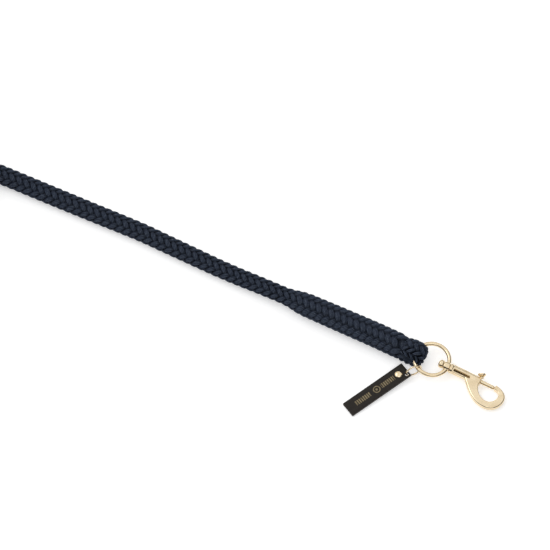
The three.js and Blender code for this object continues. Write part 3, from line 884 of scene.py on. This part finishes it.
mixed = node(tree, "ShaderNodeMixRGB",
             {"Fac": worn, "Color1": skin, "Color2": (0.27, 0.215, 0.125, 1)}).outputs["Color"]
tree.links.new(mixed, surface.inputs["Base Color"])
tree.links.new(calc("MULTIPLY", worn, 0.55), surface.inputs["Metallic"])
tree.links.new(calc("SUBTRACT", 0.52, calc("MULTIPLY", worn, 0.12)), surface.inputs["Roughness"])
grain = bump(tree, surface, pores, 0.35, 0.00012)
bump(tree, surface, calc("SUBTRACT", hide, calc("MULTIPLY", foil, 0.5)), 0.5, 0.00012, grain)

edge_paint, tree, surface = shader("tag_edge", Roughness=0.6)
where = node(tree, "ShaderNodeTexCoord").outputs["Object"]
rub = node(tree, "ShaderNodeTexNoise", {"Vector": where, "Scale": 500, "Detail": 3}
           ).outputs["Fac"]
tree.links.new(ramp(tree, rub, (0.35, (0.010, 0.007, 0.006)), (0.75, (0.045, 0.026, 0.016))),
               surface.inputs["Base Color"])
bump(tree, surface, rub, 0.4, 0.0001)

strap.data.materials.clear()
strap.data.materials.append(leather)
strap.data.materials.append(edge_paint)
for name in ("tag", "side"):
    strap.data.uv_layers.new(name=name)
tag_uv, side_uv = strap.data.uv_layers["tag"].data, strap.data.uv_layers["side"].data
for face in strap.data.polygons:
    flat_face = abs(face.normal.z) > 0.6 and abs(face.center.z) > 0.4 * TAG_THICK * MM
    face.material_index = 0 if flat_face else 1
    for loop_index in face.loop_indices:
        co = strap.data.vertices[strap.data.loops[loop_index].vertex_index].co
        tag_uv[loop_index].uv = (co.x / MM, co.y / MM)
        side_uv[loop_index].uv = (1.0 if co.z > 0 else 0.0, 0.0)
strap.data.transform(TAG_PLACE)
strap.data.set_sharp_from_angle(angle=math.radians(35))
fitted(strap, leather, "tag", "tag_leather", "tag_strap")

# The tag's rivet: a domed gold cap on the front, pressed on to a post with a flat foot at
# the back. It clamps the two layers of leather together.
stand = Matrix.Rotation(-math.pi / 2, 4, "Y")
at_rivet = TAG_PLACE @ Matrix.Translation((RIVET_X * MM, 0, 0)) @ stand
dome = [(1.8, 0.2), (1.8, 3.7)] + [
    (1.9 + 1.6 * math.sin(math.radians(a)), 0.05 + 3.95 * math.cos(math.radians(a)))
    for a in range(0, 90, 8)] + [(3.5, 0.2)]
rivet_cap = facing(new_object("rivet_dome", *turned(dome), at_rivet))
fitted(rivet_cap, gold, "tag", "gold_plate", "tag_rivet_cap")
foot = eased([(-2.5, 0.2), (-2.5, 3.1), (-1.8, 3.4), (-1.8, 1.5), (1.5, 1.5), (1.5, 0.2)], 0.25)
rivet_post = facing(new_object("rivet_foot", *turned(foot), at_rivet))
fitted(rivet_post, gold, "tag", "gold_plate", "tag_rivet_post")

# The jump ring: a round of thin gold wire, cut once and pressed shut, through the tag's
# corner and round the swivel ring.
JUMP_WIRE_R = 0.75
LINK_ANGLE = math.radians(241)  # round the swivel ring from the snap's side
hole = TAG_PLACE @ (Vector((*LINK_HOLE, 0)) * MM)
held = SNAP_PLACE @ (Vector((math.cos(LINK_ANGLE), math.sin(LINK_ANGLE), 0)) * RING_R * MM)
pull = held - hole
jump_r = (pull.length / MM + WIRE_R + JUMP_WIRE_R + 0.3) / 2
pull.normalize()
normal = pull.cross(Vector((0, 0, 1))).normalized()
jump_place = (Matrix.Translation(hole + pull * jump_r * MM)
              @ Vector((0, 0, 1)).rotation_difference(normal).to_matrix().to_4x4())
jump_ring = facing(new_object("jump_ring_wire", *hoop(jump_r, JUMP_WIRE_R, 72, 14), jump_place))
fitted(jump_ring, gold, "jump_ring", "gold_plate", "tag_jump_ring")

# The floor: a plain pale sheet under the rope, lit by an even sky with darker cards low on
# the near and right sides, which put the dark lines along the polished edges.
floor_mesh = bpy.data.meshes.new("floor")
floor_mesh.from_pydata([(-6, -6, 0), (6, -6, 0), (6, 6, 0), (-6, 6, 0)], [], [(0, 1, 2, 3)])
floor = bpy.data.objects.new("floor", floor_mesh)
bpy.context.scene.collection.objects.link(floor)
paper, tree, surface = shader("pale_paper", Roughness=0.9)
surface.inputs["Base Color"].default_value = (0.86, 0.86, 0.86, 1)
surface.inputs["Emission Color"].default_value = (1, 1, 1, 1)
surface.inputs["Emission Strength"].default_value = 0.4
floor_mesh.materials.append(paper)

world = bpy.data.worlds.new("studio")
bpy.context.scene.world = world
world.use_nodes = True
tree = world.node_tree
sky = node(tree, "ShaderNodeTexCoord").outputs["Generated"]
parts = node(tree, "ShaderNodeSeparateXYZ", {"Vector": sky}).outputs
near = calc("ADD", calc("MULTIPLY", parts["X"], 0.44), calc("MULTIPLY", parts["Y"], -0.9))
right = calc("ADD", calc("MULTIPLY", parts["X"], 0.9), calc("MULTIPLY", parts["Y"], 0.44))
cards = calc("ADD", calc("POWER", calc("MAXIMUM", near, 0), 3),
             calc("POWER", calc("MAXIMUM", right, 0), 3))
edge = calc("ADD", 0.2, calc("MULTIPLY", cards, 1.5))
light = node(tree, "ShaderNodeMapRange",
             {"Value": calc("SUBTRACT", parts["Z"], edge), "From Min": -0.05, "From Max": 0.05,
              "To Min": 0.05, "To Max": 1.0}).outputs["Result"]
seen = node(tree, "ShaderNodeLightPath").outputs["Is Camera Ray"]
shown = calc("MAXIMUM", light, seen)
tree.nodes["Background"].inputs["Color"].default_value = (1, 1, 1, 1)
tree.links.new(shown, tree.nodes["Background"].inputs["Strength"])


def lamp(name, place, size, watts):
    """A soft rectangular lamp turned to the origin."""
    light = bpy.data.objects.new(name, bpy.data.lights.new(name, "AREA"))
    light.data.shape = "RECTANGLE"
    light.data.size, light.data.size_y = size
    light.data.energy = watts
    light.location = place
    aim = Vector((0.0, 0.0, 0.0)) - light.location
    light.rotation_euler = aim.to_track_quat("-Z", "Y").to_euler()
    bpy.context.scene.collection.objects.link(light)


lamp("key", (-1.3, -0.2, 2.0), (1.4, 1.0), 7)
lamp("fill", (0.9, -1.2, 1.6), (1.4, 1.0), 4)
